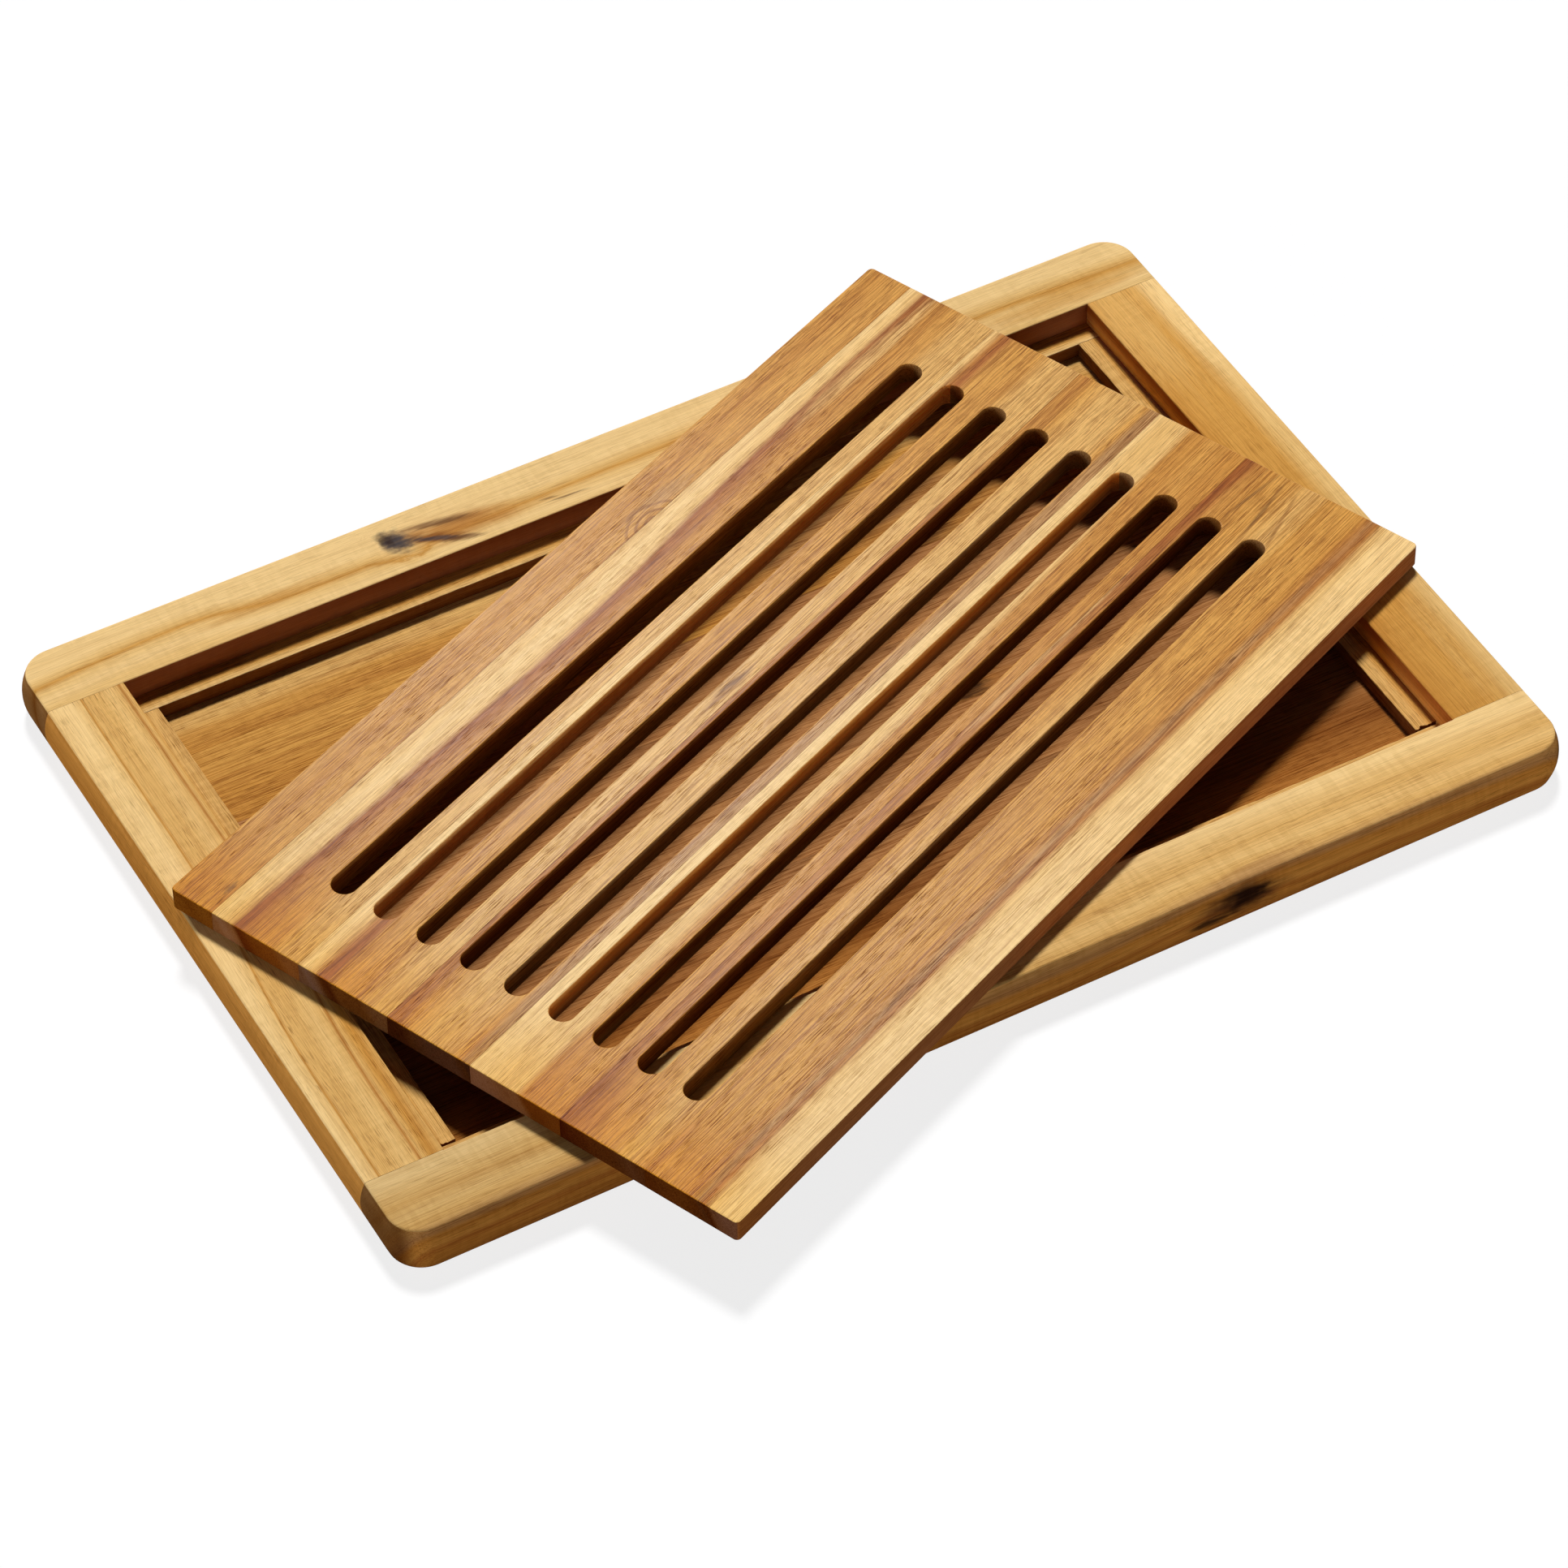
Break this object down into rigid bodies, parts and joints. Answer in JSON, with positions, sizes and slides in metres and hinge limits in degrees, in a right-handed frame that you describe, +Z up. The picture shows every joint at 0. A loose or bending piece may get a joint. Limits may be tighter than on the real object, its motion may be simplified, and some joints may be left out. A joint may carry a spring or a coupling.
{
  "type": "carving board",
  "caption": "Wooden bread and carving board: a framed crumb tray with a sunk floor, and a loose slotted grid that lies diagonally across its rim.",
  "frame": {"origin": "the centre of the tray's underside, on the surface that the board stands on", "axes": "+X along the tray's long side, +Y along its short side towards the back rail, +Z up out of the tray"},
  "size_m": [0.475, 0.3924, 0.0298],
  "materials": {
    "frame": "sanded hardwood, lightly oiled, pale golden sapwood and tan heartwood",
    "ledge": "saw-cut hardwood batten, unsanded",
    "floor": "sanded hardwood, lightly oiled, orange-brown heartwood",
    "dowel": "turned hardwood dowel, glued",
    "grid": "sanded hardwood staves, lightly oiled, orange-brown heartwood with pale sapwood strips"
  },
  "bodies": {
    "tray": {"rail_back": "frame", "rail_front": "frame", "rail_left": "frame", "rail_right": "frame", "ledge_back": "ledge", "ledge_front": "ledge", "ledge_left": "ledge", "ledge_right": "ledge", "floor_stave_1": "floor", "floor_stave_2": "floor", "floor_stave_3": "floor", "floor_stave_4": "floor", "floor_stave_5": "floor", "floor_stave_6": "floor", "floor_stave_7": "floor", "dowel_back_left_inner": "dowel", "dowel_back_left_outer": "dowel", "dowel_back_right_inner": "dowel", "dowel_back_right_outer": "dowel", "dowel_front_left_inner": "dowel", "dowel_front_left_outer": "dowel", "dowel_front_right_inner": "dowel", "dowel_front_right_outer": "dowel"},
    "grid": {"grid_stave_1": "grid", "grid_stave_2": "grid", "grid_stave_3": "grid", "grid_stave_4": "grid", "grid_stave_5": "grid", "grid_stave_6": "grid", "grid_stave_7": "grid"}
  },
  "joints": [
    {"name": "grid_lift", "type": "slide", "parent": "tray", "child": "grid", "axis": [0, 0, 1], "range_m": [0, 0.12]}
  ]
}
